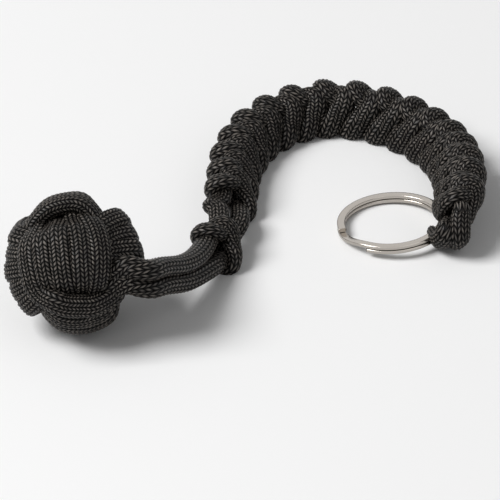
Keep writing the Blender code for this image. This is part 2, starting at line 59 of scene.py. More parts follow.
# The cord's route, in millimetres, in the plan where the fist's ball is at the origin
FREE_CORD = 4.0
BIGHT_CORD = 3.0
BIGHT_UNDER_RING = 1.6
FIST_CORD = 2.8
KNOT_CORD_THIN = 2.2
KNOT_CORD_FULL = 2.8
CORD_GAP = 0.55
FIST_GAP = 0.7

CORE_DIAMETER = 16.0
TURNS = 5
TURN_PITCH = FIST_CORD + FIST_GAP + 0.15
UNDER_REACH = (CORE_DIAMETER + FIST_CORD) / 2 + 0.2
OVER_REACH = UNDER_REACH + FIST_CORD + FIST_GAP
SQUARENESS = 4.5
POINTS_A_HALF_TURN = 24
FOOT_DEPTH = FIST_CORD / 10
FIRST_SET = (-0.05, 2 * TURNS - 0.28)
SECOND_SET = (-0.72, 2 * TURNS - 1.28)
THIRD_SET = (-0.72, 2 * TURNS - 1.85)
FIRST_START = (TURNS / 2 - 0.6) * TURN_PITCH
OTHER_START = (TURNS / 2 - 0.25) * TURN_PITCH
FIRST_NARROWER = 0.12
THIRD_RISES = 1.8
LEAD_IN = [(1.16, -0.66, 0.69), (0.90, -0.68, 0.87), (0.67, -0.72, 0.72), (0.63, -0.73, 0.38)]
LEAD_OUT = [(0.84, -0.44, 0.81), (1.13, -0.35, 0.83)]
LEAD_IN_POINTS = 11
LEAD_OUT_POINTS = 7
FIST_LEAN = 13.0
FIST_FACE_UP = 41.5
FIST_FACE_ASIDE = -6.0

KNOTS = 17
KNOT_PITCH = 6.9
FLEX_KNOT = 8
KNOT_TURN = 50.0
KNOT_WIDTH = 0.76
KNOT_HEIGHT = 0.7
KNOT_FLATNESS = 0.003
POINTS_A_KNOT = 10
KEEP_EVERY = 4
LOOSE_CORD = 3.0
LOOSE_PITCH = 9.6
FULL_MIDDLE = 0.46
FULL_HALF = 0.36
FULL_FADE = 0.14
SINNET_HEIGHT = 4.95
SINNET_LINE = [(35.4, 43.0, 0), (37.0, 58.6, 0), (42.5, 71.5, 0), (53.4, 79.8, 0), (65.0, 79.8, 0),
               (76.4, 73.5, 0), (85.0, 61.1, 1.0), (87.7, 43.6, 3.9), (85.9, 26.0, 4.4)]
STOPPER_LINE = [(32.3, 22.4, 0), (34.3, 28.7, 0)]
STEM_UPPER = [(17.2, -8.2, 19.4), (20.4, -3.0, 16.7), (24.4, 4.4, 12.3), (27.6, 12.0, 9.3)]
STEM_LOWER = [(17.6, -8.2, 14.7), (20.9, -3.2, 12.2), (25.4, 4.4, 8.0), (29.6, 12.6, 5.2)]
LINK_LEFT = [(32.6, 33.2, 7.8), (31.2, 35.8, 7.6), (33.0, 38.8, 6.8)]
LINK_RIGHT = [(37.0, 31.6, 4.8), (37.4, 36.2, 4.8)]
RING_BIGHT = [(84.4, 25.2, 7.4), (83.0, 26.6, 4.4), (82.0, 30.0, 2.6), (81.8, 33.2, 1.9), (82.6, 34.3, 1.1),
              (83.7, 34.0, 0.9), (85.2, 32.6, 1.2), (86.6, 29.6, 2.2), (87.4, 26.4, 4.4), (87.4, 25.2, 7.4)]
STEM_POINTS = 16
LINK_POINTS = 10
BIGHT_POINTS = 30
LINE_POINTS = 240
STEPS_A_POINT = 24

RING_OUTER = 25.0
RING_WIRE_WIDTH = 1.8
RING_WIRE_HEIGHT = 0.95
RING_COIL_GAP = 0.12
RING_CENTRE = (72.2, 36.9)
RING_LOW_SIDE = 140.0
RING_STEP_FROM = 195.0
RING_STEP_TO = 241.0
RING_OVER_CORD = 0.42

ALONG_ITSELF = 1.3
PUSHES_A_ROUND = 3
LOOK_EVERY = 5
LOOK_ROUND = 0.8
ROUNDS_TO_SPREAD = 10
DRAW_FIST = [(220, 0.15), (40, 0.02)]
KNOT_CLOSES_IN = 12
KNOT_THINS_IN = 8
KNOT_STAGE = (50, 0.8)
KNOT_SETTLES = (300, 0.8)
KNOT_RESTS = (60, 0.1)

# The cord as the eye meets it: soft, so it swells to fill what the knots leave it. A section is its
# width, its thickness, how square it is, where 2 is an ellipse, and a pick's length along it.
FREE_SECTION = (4.9, 4.4, 2.2, 1.6)
FIST_SECTION = (5.2, 3.8, 3.0, 0.82)
WRAP_SECTION = (5.8, 4.0, 2.05, 0.82)
TUCK_SECTION = (3.3, 3.1, 2.1, 0.9)
STOPPER_SECTION = (5.4, 3.8, 2.2, 0.9)
LINK_SECTION = (4.6, 3.2, 2.4, 1.2)
BIGHT_SECTION = (4.7, 3.4, 2.3, 1.0)
BIGHT_UNDER_SECTION = (3.0, 1.5, 2.2, 1.0)
PANEL_SPREAD = 0.22
SPREAD_FROM = 0.6
SPREAD_FADE = 0.35
FIST_ROUND = 1.0
FIST_FULLER = 1.03
FIST_MOVED = (0.5, 0.0, 0.4)

# The braid: how many columns of picks go round the cord, a pick's length, and how it stands up
COLUMNS = 16
PICK_SLANT = 0.9
PICK_HEIGHT = 0.26
SAMPLES_A_COLUMN = 4
SAMPLE_STEP = 0.29
FILAMENTS = 5
FILAMENT_HEIGHT = 0.03
# CREST_SHARPNESS: how tightly the painted highlight gathers on each pick's crest, with painted shade in the
# grooves around it
CREST_SHARPNESS = 3.0
PICK_ROUGHNESS = 0.30
WEAR_ROUGHENS = 0.12
CREST_GLOSS = 0.24
GROOVE_GLOSS = 0.01
REFINE = 16
NORMAL_ROUNDS = 60
WIRE_IN_BIGHT = (83.5, 33.7, 2.8)

# Which body each stretch rides on, and the stem's two ends
BODY_OF = {"first_turns": "fist", "second_turns": "fist", "third_turns": "fist", "stopper_knot_a": "lanyard",
           "stopper_knot_b": "lanyard", "link_right": "lanyard", "link_left": "lanyard",
           "ring_bight": "lanyard_end"}
STEM_HALVES = {"stem_upper": ("fist", "lanyard"), "stem_lower": ("lanyard", "fist")}

# The split ring's surface
RING_ROWS = 500
RING_SIDES = 32
RING_SQUARE = 0.45

# The view
CAMERA_ELEVATION = 33.7
CAMERA_DISTANCE = 1.5
CAMERA_SENSOR = 36.0
CAMERA_SEES = 20.0
FRAME_WIDTH = 113.6
CAMERA_TARGET = (39.8, 28.9, 0.0)
KEY_PLACE = (-1.12, -0.27, 1.38)
KEY_WIDTH = 0.9
KEY_POWER = 32.0
FILL_PLACE = (1.0, -1.0, 1.2)
FILL_WIDTH = 1.5
FILL_POWER = 2.5
ROOM_LIGHT = 0.22
FLOOR_REACH = 3.0


def turned(points, half_turns, lift):
    """The same points, turned by half turns about Z and lifted."""
    out = points.copy()
    out[:, :2] *= (-1) ** half_turns
    out[:, 2] += lift
    return out


def evenly(points, count):
    """A polyline's points spread evenly over its own length."""
    run = np.concatenate([[0], np.cumsum(np.linalg.norm(np.diff(points[:, :3], axis=0), axis=1))])
    at = np.linspace(0, run[-1], count)
    return np.stack([np.interp(at, run, column) for column in points.T], axis=1)


def near_pairs(points, widths, copies):
    """Which points lie near which of the copies' points, by number, and each pair's least distance."""
    sign = np.array([(-1) ** c[0] for c in copies])
    lift = np.array([c[1] for c in copies])
    others = np.concatenate([turned(points, c[0], c[1]) for c in copies])
    spacing = np.linalg.norm(np.diff(points, axis=0), axis=1).mean()
    skip = int(np.ceil(ALONG_ITSELF * widths.max() / spacing))
    count = len(points)
    squares = (points ** 2).sum(1)[:, None] + (others ** 2).sum(1)[None] - 2 * points @ others.T
    i, k = np.nonzero(squares < (widths.max() + LOOK_ROUND) ** 2)
    copy, j = k // count, k % count
    itself = np.array([c[2] is not None for c in copies])
    offset = np.array([c[2] or 0 for c in copies])
    kept = ~itself[copy] | (np.abs(i - j - offset[copy]) > skip)
    i, j, copy = i[kept], j[kept], copy[kept]
    return i, j, sign[copy], lift[copy], (widths[i] + widths[j]) / 2


def settle(points, widths, copies, steps, pull, core=0.0, flatten=0.0):
    """Draw a cord tight: pull each point between its neighbours, and push apart what lies too near.

    copies lists (half_turns, lift, offset): the cord again, turned and lifted. offset is where its
    points come in the same cord's count, or None where it is another strand. With one copy the
    cord's ends are held. With more, the cord runs on into its first and last neighbours.
    """
    points = points.copy()
    count = len(points)
    runs_on = len(copies) > 1
    ends = points[[0, -1]].copy()
    if runs_on:
        half_turns, lift = [(c[0], c[1]) for c in copies if c[2] == count][0]
    for step in range(steps):
        if runs_on:
            before = turned(points, half_turns, -lift)[-1:]
            after = turned(points, half_turns, lift)[:1]
        else:
            before, after = points[:1], points[-1:]
        chain = np.concatenate([before, points, after])
        points += pull * (0.5 * (chain[:-2] + chain[2:]) - points)
        points[:, 1] *= 1 - flatten
        if step % LOOK_EVERY == 0:
            i, j, sign, lifted, need = near_pairs(points, widths, copies)
        for _ in range(PUSHES_A_ROUND):
            gap = points[i] - points[j] * np.stack([sign, sign, np.ones(len(i))], axis=1)
            gap[:, 2] -= lifted
            distance = np.sqrt((gap ** 2).sum(1))
            push = 0.5 * np.maximum(need - distance, 0) / np.maximum(distance, 1e-6)
            touches = np.bincount(i, distance < need, count)
            move = np.stack([np.bincount(i, gap[:, k] * push, count) for k in range(3)], axis=1)
            points += move / np.maximum(touches, 1)[:, None]
            if core:
                out = np.linalg.norm(points, axis=1)
                points *= np.maximum(1, (core + widths / 2) / np.maximum(out, 1e-6))[:, None]
            if not runs_on:
                points[[0, -1]] = ends
        if runs_on and step % ROUNDS_TO_SPREAD == ROUNDS_TO_SPREAD - 1:
            whole = np.concatenate([points, turned(points, half_turns, lift)[:1]])
            points = evenly(whole, count + 1)[:-1]
    return points


def snake_knot():
    """One strand through one snake knot, drawn tight, as points and as how full it is, from 0 to 1.

    The axis is Z. The strand rises beside it, goes half round the other strand outside it, tucks in
    under where that strand goes out, and rises again on the other side.
    """
    count = KEEP_EVERY * POINTS_A_KNOT
    # angle in degrees, then radius in loose cord widths and height in knot heights
    guess = np.array([(0, 0.55, 0.0), (0, 0.55, 0.30), (5, 0.9, 0.52), (25, 1.5, 0.56), (60, 1.8, 0.52),
                      (100, 1.85, 0.45), (140, 1.85, 0.38), (180, 1.8, 0.30), (205, 1.5, 0.26),
                      (228, 1.1, 0.28), (240, 0.75, 0.40), (225, 0.6, 0.60), (200, 0.55, 0.80),
                      (180, 0.55, 1.0)])
    at = np.linspace(0, len(guess) - 1, count + 1)[:-1]
    angle, radius, height = (np.interp(at, range(len(guess)), guess[:, k]) for k in range(3))
    angle = np.radians(angle)
    radius = radius * LOOSE_CORD
    points = np.stack([radius * np.cos(angle), radius * np.sin(angle), height * LOOSE_PITCH], axis=1)
    full = np.clip((FULL_HALF - np.abs(np.arange(count) / count - FULL_MIDDLE)) / FULL_FADE, 0, 1)
    full = full * full * (3 - 2 * full)
    widths = KNOT_CORD_THIN + (KNOT_CORD_FULL - KNOT_CORD_THIN) * full
    pitch = LOOSE_PITCH
    for stage in range(1, KNOT_CLOSES_IN + 1):
        closer = LOOSE_PITCH + (KNOT_PITCH - LOOSE_PITCH) * stage / KNOT_CLOSES_IN
        points[:, 2] *= closer / pitch
        pitch = closer
        points = settle(points, np.full(count, LOOSE_CORD), knot_copies(pitch, count), *KNOT_STAGE)
    copies = knot_copies(pitch, count)
    drawn = widths + CORD_GAP
    for stage in range(1, KNOT_THINS_IN + 1):
        width = LOOSE_CORD + (drawn - LOOSE_CORD) * stage / KNOT_THINS_IN
        points = settle(points, width, copies, *KNOT_STAGE, flatten=KNOT_FLATNESS)
    points = settle(points, drawn, copies, *KNOT_SETTLES, flatten=KNOT_FLATNESS)
    points = settle(points, drawn, copies, *KNOT_RESTS)
    return points, full


def knot_copies(pitch, count):
    """Where both strands of the neighbouring knots lie, seen from one strand in one knot."""
    same = [(m % 2, m * pitch, m * count) for m in (-2, -1, 0, 1, 2)]
    other = [((m + 1) % 2, m * pitch, None) for m in (-2, -1, 0, 1, 2)]
    return same + other


def smooth_line(points, count):
    """Points spread evenly on a smooth curve through the given ones."""
    points = np.array(points, float)
    start = 2 * points[0] - points[1]
    end = 2 * points[-1] - points[-2]
    p = np.concatenate([[start], points, [end]])
    rows = []
    for k in range(1, len(p) - 2):
        t = np.linspace(0, 1, STEPS_A_POINT, endpoint=False)[:, None]
        a = 2 * p[k]
        b = p[k + 1] - p[k - 1]
        c = 2 * p[k - 1] - 5 * p[k] + 4 * p[k + 1] - p[k + 2]
        d = -p[k - 1] + 3 * p[k] - 3 * p[k + 1] + p[k + 2]
        rows.append(0.5 * (a + b * t + c * t ** 2 + d * t ** 3))
    rows.append(p[-2:-1])
    return evenly(np.concatenate(rows), count)


def along_line(points, line):
    """Carry points off the Z axis on to a line: X goes outward, Y up and Z along it.

    They are turned about the line by KNOT_TURN degrees first, and then pressed to KNOT_WIDTH of their
    width and KNOT_HEIGHT of their height, because the worked knots lie flat. It returns the points, and
    for each one the point of the line beside it.
    """
    run = np.concatenate([[0], np.cumsum(np.linalg.norm(np.diff(line, axis=0), axis=1))])
    tangent = np.gradient(line, axis=0)
    at = points[:, 2]
    inside = np.clip(at, 0, run[-1])
    centre = np.stack([np.interp(inside, run, line[:, k]) for k in range(3)], axis=1)
    ahead = np.stack([np.interp(inside, run, tangent[:, k]) for k in range(3)], axis=1)
    ahead /= np.linalg.norm(ahead, axis=1)[:, None]
    centre += ahead * (at - inside)[:, None]
    outward = np.stack([-ahead[:, 1], ahead[:, 0], np.zeros(len(at))], axis=1)
    outward /= np.linalg.norm(outward, axis=1)[:, None]
    up = np.cross(ahead, outward) * -1
    up *= np.sign(up[:, 2])[:, None]
    turn = math.radians(KNOT_TURN)
    x = KNOT_WIDTH * (points[:, 0] * math.cos(turn) - points[:, 1] * math.sin(turn))
    y = KNOT_HEIGHT * (points[:, 0] * math.sin(turn) + points[:, 1] * math.cos(turn))
    return centre + outward * x[:, None] + up * y[:, None], centre


def squarish(t, over, under):
    """A rounded square's points: it reaches over where the sine is 1 and under where the cosine is."""
    c, s = np.cos(t), np.sin(t)
    reach = (np.abs(c / under) ** SQUARENESS + np.abs(s / over) ** SQUARENESS) ** (-1 / SQUARENESS)
    return reach * c, reach * s


def fist_turns():
    """The three sets of turns, each in order along the cord, before they are drawn tight."""
    def turns(span, middle, start):
        count = int(round((span[1] - span[0]) * POINTS_A_HALF_TURN)) + 1
        t = np.pi * np.linspace(span[0], span[1], count)
        under, over = squarish(t, OVER_REACH, UNDER_REACH)
        return t, under, over, start - TURN_PITCH * (t / (2 * np.pi) - middle / 2)

    t, under, over, drift = turns(FIRST_SET, 1.5, FIRST_START)
    front = np.stack([drift * (1 - FIRST_NARROWER * np.cos(t) ** 2), -under, -over], axis=1)
    t, under, over, drift = turns(SECOND_SET, -0.5, OTHER_START)
    bottom = np.stack([under, over, drift], axis=1)
    t, under, over, drift = turns(THIRD_SET, -0.5, OTHER_START)
    side = np.stack([over, drift + THIRD_RISES * np.maximum(0, np.sin(t)), under], axis=1)
    return front, bottom, side


def stood_up(points):
    """Points of the fist turned from its own axes (right, up its front, out of its front) to the plan's."""
    lean = Matrix.Rotation(math.radians(FIST_LEAN), 3, "Z")
    tip = Matrix.Rotation(math.radians(90 - FIST_FACE_UP), 3, "X")
    aside = Matrix.Rotation(math.radians(FIST_FACE_ASIDE), 3, "Z")
    return points @ np.array(aside @ tip @ lean).T


def spread_panels(points, sets):
    """Widen each visible panel a little: where a set runs outermost, its turns lie further apart."""
    out = points.copy()
    begin, fade = SPREAD_FROM * OVER_REACH, SPREAD_FADE * OVER_REACH
    for (first, last), over, across in zip(sets, (2, 1, 0), (0, 2, 1)):
        rows = slice(first, last)
        far = np.clip((np.abs(points[rows, over]) - begin) / fade, 0, 1)
        out[rows, across] *= 1 + PANEL_SPREAD * far * far * (3 - 2 * far)
    return out


def rounded(points):
    """The fist's cube of turns drawn towards a ball: each layer's corners come in to its faces' reach."""
    reach = (np.abs(points) ** SQUARENESS).sum(1) ** (1 / SQUARENESS)
    return points * (1 + FIST_ROUND * (reach / np.linalg.norm(points, axis=1) - 1))[:, None]


def fist_cord():
    """The fist's cord from the lower stem's end to the upper one's, what divides it, and its ball's height.

    It is drawn tight, spread, rounded and stood up on the floor. Last it is made FIST_FULLER times as
    large, because a soft cord swells, and moved by FIST_MOVED.
    """
    front, bottom, side = fist_turns()
    lead_in = smooth_line([*(OVER_REACH * np.array(LEAD_IN)), front[0]], LEAD_IN_POINTS)[:-1]
    lead_out = smooth_line([side[-1], *(OVER_REACH * np.array(LEAD_OUT))], LEAD_OUT_POINTS)[1:]
    parts = [lead_in, front, bottom, side, lead_out]
    points = np.concatenate(parts)
    widths = np.full(len(points), FIST_CORD + FIST_GAP)
    for rounds, pull in DRAW_FIST:
        points = settle(points, widths, [(0, 0, 0)], rounds, pull, core=CORE_DIAMETER / 2)
    lengths = np.cumsum([0] + [len(p) for p in parts])
    height = FIST_CORD / 2 - stood_up(points)[::2, 2].min() - FOOT_DEPTH
    sets = [(lengths[k], lengths[k + 1]) for k in (1, 2, 3)]
    points = FIST_FULLER * stood_up(rounded(spread_panels(points, sets)))[::2] + FIST_MOVED
    return points + [0, 0, height], [*(lengths[[0, 2, 3]] // 2), len(points) - 1], height


def knotted(knot, line, first, last, other):
    """One strand of some snake knots along a line: points, the line's points beside them, and fullness."""
    points, full = knot
    rows = np.concatenate([turned(points, (m + other) % 2, m * KNOT_PITCH) for m in range(first, last + 1)])
    size = len(points) * (last - first) + 1
    placed, centre = along_line(rows[:size], line)
    fullness = np.tile(full, last + 1 - first)[:size]
    return np.column_stack([placed, centre, fullness])[::KEEP_EVERY]


def raised(points):
    """Points of a line given from the sinnet's height."""
    return [(x, y, z + SINNET_HEIGHT) for x, y, z in points]


def free(start, through, end, count):
    """A free stretch between two points: a smooth curve by way of chosen points, without its ends."""
    return smooth_line([start, *through, end], count)[1:-1]


def with_section(points, centre, section, section_full=None, fullness=None):
    """Rows of a stretch: its points, what they lie round, and the cord's width and thickness there."""
    centre = np.broadcast_to(centre, points.shape)
    section = np.broadcast_to(np.array(section, float), (len(points), len(section)))
    if fullness is not None:
        section = section + (np.array(section_full) - section) * fullness[:, None]
    return np.column_stack([points, centre, section])


def whole_cord():
    """The whole closed cord's stretches in order, each with its name and its rows."""
    knot = snake_knot()
    line = smooth_line(raised(SINNET_LINE), LINE_POINTS)
    stopper_line = smooth_line(raised(STOPPER_LINE), LINE_POINTS)
    fist, sets, height = fist_cord()
    ball = np.array([0, 0, height])

    def knots(where, first, last, other, section=WRAP_SECTION):
        rows = knotted(knot, where, first, last, other)
        return with_section(rows[:, :3], rows[:, 3:6], TUCK_SECTION, section, rows[:, 6])

    def lying(start, through, end, count, section):
        points = free(start[:3], through, end[:3], count)
        return with_section(points, points - [0, 0, FREE_CORD], section)

    fist = with_section(fist, ball, FIST_SECTION)
    stopper_a, stopper_b = (knots(stopper_line, 0, 1, other, STOPPER_SECTION) for other in (0, 1))
    sinnet = {}
    for other in (0, 1):
        for name, first, last in (("near", 0, FLEX_KNOT), ("flex", FLEX_KNOT, FLEX_KNOT + 1),
                                  ("far", FLEX_KNOT + 1, KNOTS)):
            sinnet[name, other] = knots(line, first, last, other)
    sinnet_a, sinnet_b = sinnet["near", 0][0], sinnet["near", 1][0]
    far_a, far_b = sinnet["far", 0][-1], sinnet["far", 1][-1]
    bight = free(far_b[:3], RING_BIGHT[::-1], far_a[:3], BIGHT_POINTS)
    under = np.clip((BIGHT_CORD / 2 + RING_WIRE_HEIGHT - bight[:, 2]) / RING_WIRE_HEIGHT, 0, 1)
    bight = with_section(bight, WIRE_IN_BIGHT, BIGHT_SECTION, BIGHT_UNDER_SECTION, under)
    return [("first_turns", fist[:sets[1]]), ("second_turns", fist[sets[1]:sets[2]]),
            ("third_turns", fist[sets[2]:]),
            ("stem_upper", lying(fist[-1], STEM_UPPER, stopper_a[0], STEM_POINTS, FREE_SECTION)),
            ("stopper_knot_a", stopper_a[:-1]),
            ("link_right", lying(stopper_a[-2], LINK_RIGHT, sinnet_b, LINK_POINTS, LINK_SECTION)),
            ("sinnet_near_b", sinnet["near", 1][:-1]), ("sinnet_flex_b", sinnet["flex", 1][:-1]),
            ("sinnet_far_b", sinnet["far", 1]), ("ring_bight", bight),
            ("sinnet_far_a", sinnet["far", 0][::-1]), ("sinnet_flex_a", sinnet["flex", 0][:-1][::-1]),
            ("sinnet_near_a", sinnet["near", 0][:-1][::-1]),
            ("link_left", lying(sinnet_a, LINK_LEFT[::-1], stopper_b[-2], LINK_POINTS, LINK_SECTION)),
            ("stopper_knot_b", stopper_b[:-1][::-1]),
            ("stem_lower", lying(stopper_b[0], STEM_LOWER[::-1], fist[0], STEM_POINTS, FREE_SECTION))]


def unit(vectors):
    """The same vectors, each one long."""
    return vectors / np.maximum(np.linalg.norm(vectors, axis=-1, keepdims=True), 1e-9)


def closed_smooth(rows, steps):
    """A smooth closed curve through the rows, with this many points between one row and the next."""
    t = (np.arange(steps) / steps)[None, :, None]
    p0, p1, p2, p3 = (np.roll(rows, shift, axis=0)[:, None] for shift in (1, 0, -1, -2))
    curve = 0.5 * (2 * p1 + (p2 - p0) * t + (2 * p0 - 5 * p1 + 4 * p2 - p3) * t ** 2
                   + (3 * p1 - p0 - 3 * p2 + p3) * t ** 3)
    return curve.reshape(-1, rows.shape[1])


def round_and_round(values, times):
    """Each value averaged with its neighbours on the closed cord, this many times."""
    for _ in range(times):
        values = 0.5 * values + 0.25 * (np.roll(values, 1, axis=0) + np.roll(values, -1, axis=0))
    return values


def fine_cord(stretches):
    """The closed cord in fine steps: points, directions, outward normals, sections, picks and ends."""
    rows = np.concatenate([rows for _, rows in stretches])
    sections = round_and_round(rows[:, 6:], 2)
    coarse = np.column_stack([rows[:, :3], round_and_round(unit(rows[:, :3] - rows[:, 3:6]), 2), sections])
    refined = closed_smooth(coarse, REFINE)
    ring = np.concatenate([refined, refined[:1]])
    run = np.concatenate([[0], np.cumsum(np.linalg.norm(np.diff(ring[:, :3], axis=0), axis=1))])
    count = int(round(run[-1] / SAMPLE_STEP))
    at = np.arange(count) * run[-1] / count
    fine = np.stack([np.interp(at, run, column) for column in ring.T], axis=1)
    points = fine[:, :3]
    ahead = unit(np.roll(points, -1, axis=0) - np.roll(points, 1, axis=0))
    out = fine[:, 3:6] - ahead * (fine[:, 3:6] * ahead).sum(1)[:, None]
    out = unit(round_and_round(unit(out), NORMAL_ROUNDS))
    out = unit(out - ahead * (out * ahead).sum(1)[:, None])
    lengths = np.cumsum([0] + [len(rows) for _, rows in stretches])
    ends = np.searchsorted(at, run[np.minimum(lengths * REFINE, len(run) - 1)])
    picks = np.cumsum(run[-1] / count / fine[:, 9])
    picks *= round(picks[-1]) / picks[-1]
    return points, ahead, out, fine[:, 6:9], picks, ends


def braid_relief(column, pick):
    """How far the braid stands up, from 0 in its grooves to 1 on a pick's crest.

    The cord's surface is in columns of picks. A pick is a slanted pillow of yarn, (1 - (2 x) ** 2) across
    times (1 - (2 y) ** 2) along, and the next column slants the other way, which makes rows of zigzags.
    """
    number = np.floor(column)
    x = column - number - 0.5
    y = pick + (1 - 2 * (number % 2)) * PICK_SLANT * x
    y = y - np.floor(y) - 0.5
    return (1 - 4 * x * x) * (1 - 4 * y * y)


def cord_surface(points, ahead, out, sections, picks):
    """The braided surface along a stretch, as a grid of points and one of columns and picks.

    A section is a flattened round of half width a and half thickness b, the curve on which
    |x / a| ** n + |y / b| ** n is 1. The relief stands on it, square to it.
    """
    around = np.arange(COLUMNS * SAMPLES_A_COLUMN + 1) / SAMPLES_A_COLUMN
    angle = 2 * np.pi * around / COLUMNS
    beside = np.cross(ahead, out)
    a, b, n = sections[:, 0:1] / 2, sections[:, 1:2] / 2, sections[:, 2:3]
    c, s = np.cos(angle) * np.sqrt(a), np.sin(angle) * np.sqrt(b)
    reach = (np.abs(c / a) ** n + np.abs(s / b) ** n) ** (-1 / n)
    x, y = reach * c, reach * s
    normal_x = np.sign(x) * np.abs(x / a) ** (n - 1) / a
    normal_y = np.sign(y) * np.abs(y / b) ** (n - 1) / b
    length = np.hypot(normal_x, normal_y)
    column, pick = np.broadcast_arrays(around[None], picks[:, None])
    relief = PICK_HEIGHT * (braid_relief(column, pick) - 0.5)
    x = x + relief * normal_x / length
    y = y + relief * normal_y / length
    grid = points[:, None] + beside[:, None] * x[..., None] + out[:, None] * y[..., None]
    grid[..., 2] = np.maximum(grid[..., 2], 0)
    return grid, np.stack([column, pick], axis=-1)


def tube_mesh(name, grid, uv):
    """A closed mesh from a grid that goes round and round, its last column lying on its first."""
    rows, columns = grid.shape[0], grid.shape[1] - 1
    vertices = np.concatenate([grid[:, :-1].reshape(-1, 3), grid[:1, :-1].mean(1), grid[-1:, :-1].mean(1)])
    i, j = np.meshgrid(np.arange(rows - 1), np.arange(columns), indexing="ij")
    i, j = i.ravel(), j.ravel()
    after = (j + 1) % columns
    here, further = i * columns, (i + 1) * columns
    quads = np.stack([here + j, here + after, further + after, further + j], axis=1)
    quad_uv = np.stack([uv[i, j], uv[i, j + 1], uv[i + 1, j + 1], uv[i + 1, j]], axis=1)
    j = np.arange(columns)
    after = (j + 1) % columns
    start, end = rows * columns, rows * columns + 1
    last = (rows - 1) * columns
    fans = np.concatenate([np.stack([np.full(columns, start), after, j], axis=1),
                           np.stack([np.full(columns, end), last + j, last + after], axis=1)])
    fan_uv = np.repeat(np.concatenate([uv[0, :-1], uv[-1, :-1]])[:, None], 3, axis=1)
    mesh = bpy.data.meshes.new(name)
    mesh.vertices.add(len(vertices))
    mesh.vertices.foreach_set("co", (vertices * MM).ravel())
    loops = np.concatenate([quads.ravel(), fans.ravel()])
    mesh.loops.add(len(loops))
    mesh.loops.foreach_set("vertex_index", loops)
    mesh.polygons.add(len(quads) + len(fans))
    starts = np.concatenate([np.arange(len(quads)) * 4, len(quads) * 4 + np.arange(len(fans)) * 3])
    mesh.polygons.foreach_set("loop_start", starts)
    mesh.update(calc_edges=True)
    layer = mesh.uv_layers.new(name="UVMap")
    layer.data.foreach_set("uv", np.concatenate([quad_uv.reshape(-1, 2), fan_uv.reshape(-1, 2)]).ravel())
    smooth = np.ones(len(quads) + len(fans), dtype=bool)
    smooth[len(quads):] = False
    mesh.polygons.foreach_set("use_smooth", smooth)
    mesh.validate()
    return mesh


def piece(name, mesh, finish, slot, *nodes):
    """A piece in the scene with its finish, standing for these parts of the construction."""
    made = bpy.data.objects.new(name, mesh)
    bpy.context.scene.collection.objects.link(made)
    mesh.materials.append(finish)
    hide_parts(*nodes)
    return made


def add(tree, kind, inputs=None, **settings):
    """Add a node with its settings and give its outputs; inputs maps a socket to a value or an output."""
    node = tree.nodes.new(kind)
    for name, value in settings.items():
        setattr(node, name, value)
    for socket, value in (inputs or {}).items():
        if isinstance(value, bpy.types.NodeSocket):
            tree.links.new(value, node.inputs[socket])
        else:
            node.inputs[socket].default_value = value
    return node.outputs


def colour(text):
    """A hex sRGB colour as linear values."""
    parts = [int(text[k:k + 2], 16) / 255 for k in (1, 3, 5)]
    return (*(p / 12.92 if p <= 0.04045 else ((p + 0.055) / 1.055) ** 2.4 for p in parts), 1.0)


def finish_of(name):
    """A new material of that name, with its node tree and its shader."""
    made = bpy.data.materials.new(name)
    made.use_nodes = True
    return made, made.node_tree, made.node_tree.nodes["Principled BSDF"]


